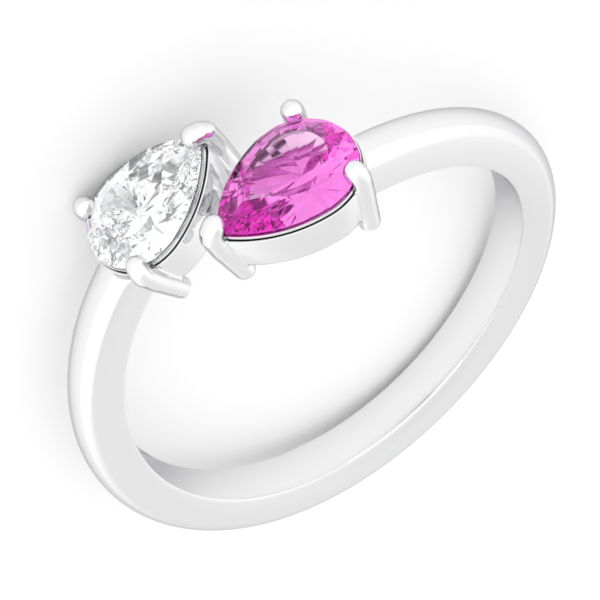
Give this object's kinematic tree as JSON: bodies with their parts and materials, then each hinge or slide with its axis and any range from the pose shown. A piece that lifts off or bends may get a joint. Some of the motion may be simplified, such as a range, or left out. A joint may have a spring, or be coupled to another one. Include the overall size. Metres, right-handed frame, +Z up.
{
  "type": "toi et moi ring",
  "caption": "Bypass finger ring in polished white metal, with a colourless pear stone and a pink pear stone side by side, tip to tail, each in an open cup with prongs.",
  "frame": {"origin": "centre of the finger hole, on its axis in the middle of the band's back", "axes": "the ring lies on its side with +Z up; the head points to -Y and the finger hole's axis leans about 6 degrees from +Z"},
  "size_m": [0.0208, 0.0225, 0.007],
  "materials": {
    "white_metal": "polished white gold",
    "colourless_stone": "faceted, clear, polished",
    "pink_stone": "faceted, clear pink, polished"
  },
  "bodies": {
    "root": {"ring_mount": "white_metal", "diamond": "colourless_stone", "pink_sapphire": "pink_stone"}
  },
  "joints": []
}
